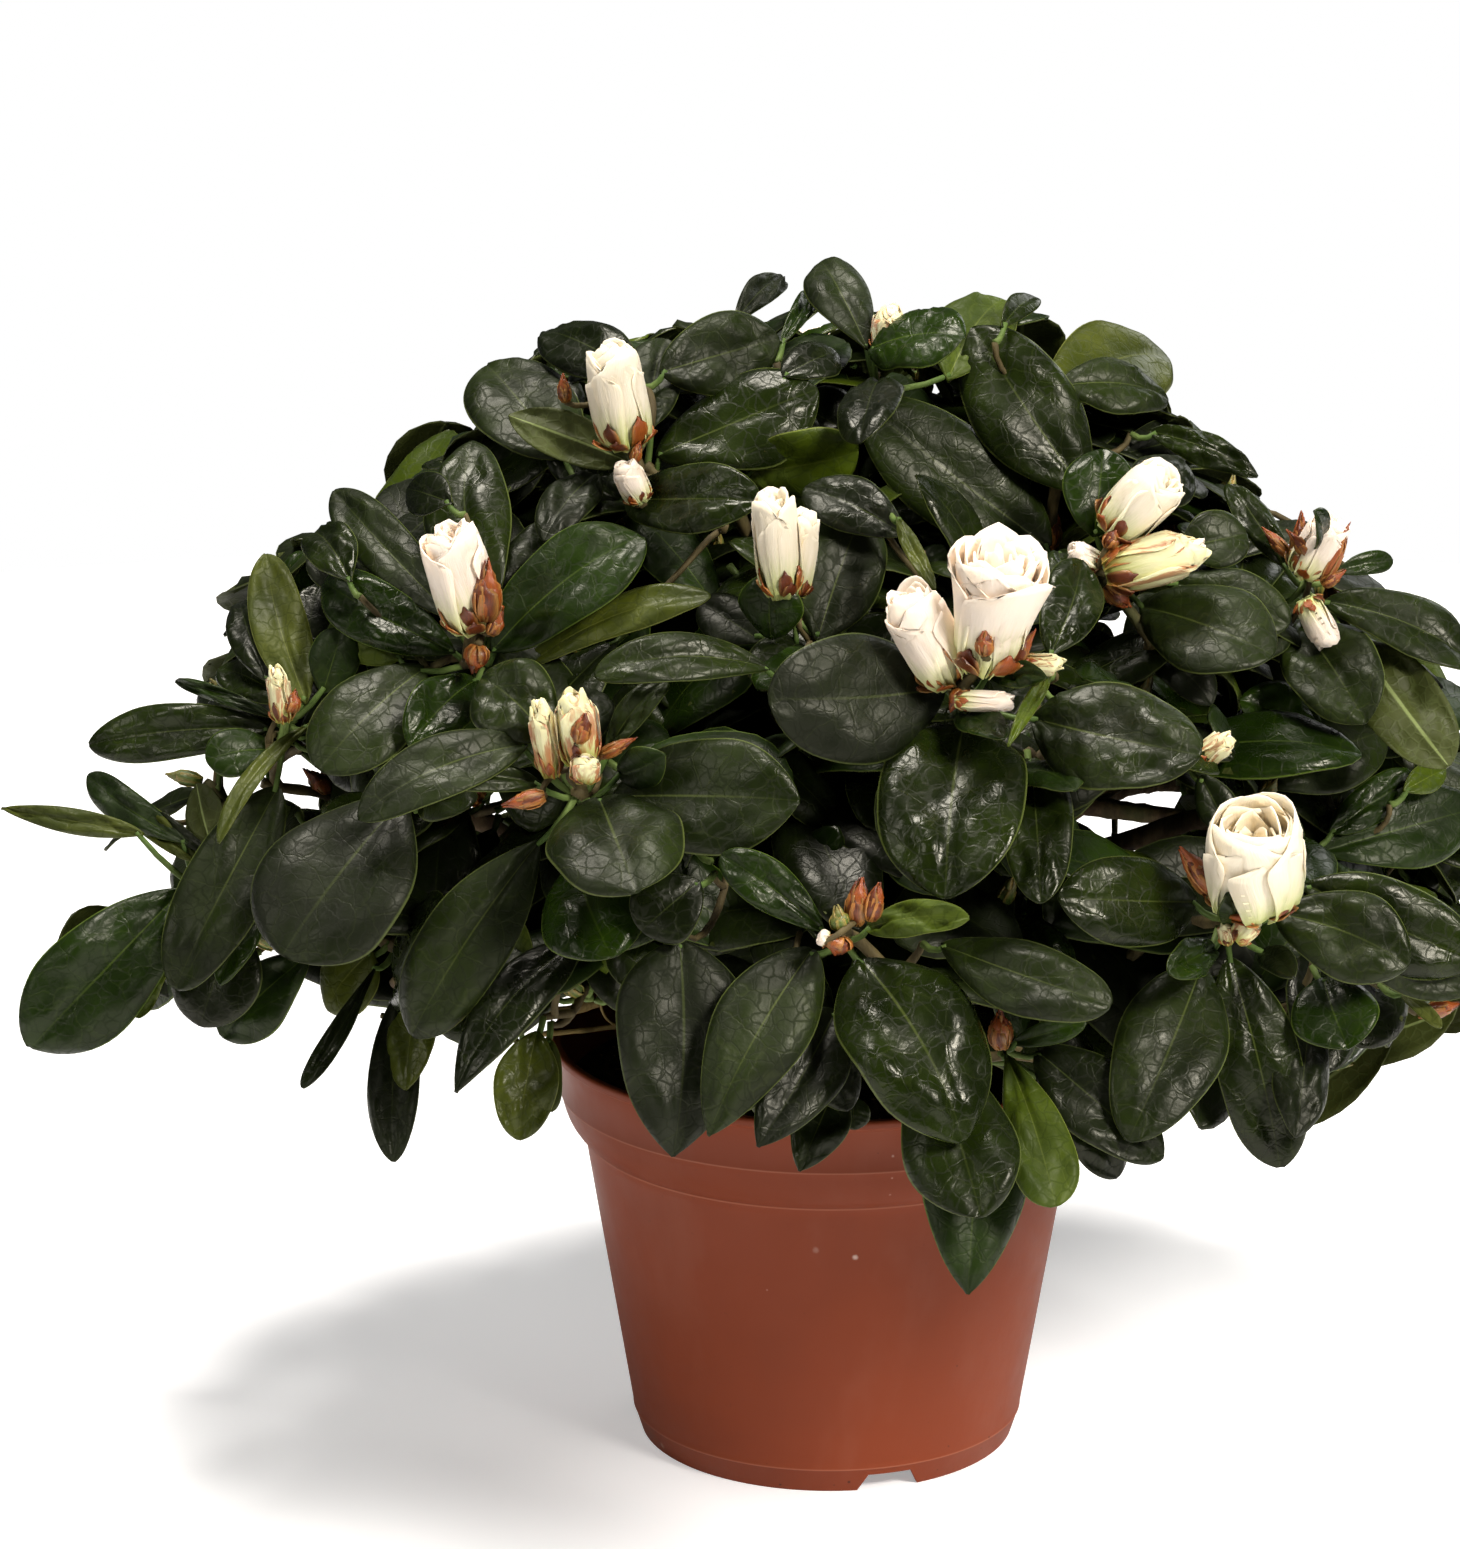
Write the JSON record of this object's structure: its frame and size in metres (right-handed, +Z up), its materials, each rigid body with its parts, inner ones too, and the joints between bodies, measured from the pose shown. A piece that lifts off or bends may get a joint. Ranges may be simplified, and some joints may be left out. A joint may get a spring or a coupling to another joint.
{
  "type": "potted azalea shrub",
  "caption": "Low dome-shaped evergreen azalea with half-open white double flowers, standing in a round plastic grower's pot with a collar and a notched foot ring.",
  "frame": {"origin": "on the floor under the middle of the pot, which is also the bottom centre of the part's box", "axes": "+Z up along the pot's axis, -Y towards the plant's front, +X to the front view's right"},
  "size_m": [0.3845, 0.3283, 0.2831],
  "materials": {
    "pot": "satin",
    "soil": "matte",
    "bark": "matte",
    "foliage": "satin"
  },
  "bodies": {
    "root": {"bough_side_1": "bark", "bough_side_2": "bark", "bough_side_3": "bark", "bough_side_4": "bark", "bough_side_5": "bark", "bough_side_6": "bark", "bough_side_7": "bark", "bough_side_8": "bark", "bough_skirt_1": "bark", "bough_skirt_2": "bark", "bough_skirt_3": "bark", "bough_skirt_4": "bark", "bough_skirt_5": "bark", "bough_skirt_6": "bark", "bough_skirt_7": "bark", "bough_skirt_8": "bark", "bough_top": "bark", "bough_upper_1": "bark", "bough_upper_2": "bark", "bough_upper_3": "bark", "bough_upper_4": "bark", "bough_upper_5": "bark", "foliage_side_1": "foliage", "foliage_side_2": "foliage", "foliage_side_3": "foliage", "foliage_side_4": "foliage", "foliage_side_5": "foliage", "foliage_side_6": "foliage", "foliage_side_7": "foliage", "foliage_side_8": "foliage", "foliage_skirt_1": "foliage", "foliage_skirt_2": "foliage", "foliage_skirt_3": "foliage", "foliage_skirt_4": "foliage", "foliage_skirt_5": "foliage", "foliage_skirt_6": "foliage", "foliage_skirt_7": "foliage", "foliage_skirt_8": "foliage", "foliage_top": "foliage", "foliage_upper_1": "foliage", "foliage_upper_2": "foliage", "foliage_upper_3": "foliage", "foliage_upper_4": "foliage", "foliage_upper_5": "foliage", "pot": "pot", "root_ball": "soil", "stem": "bark"}
  },
  "joints": []
}
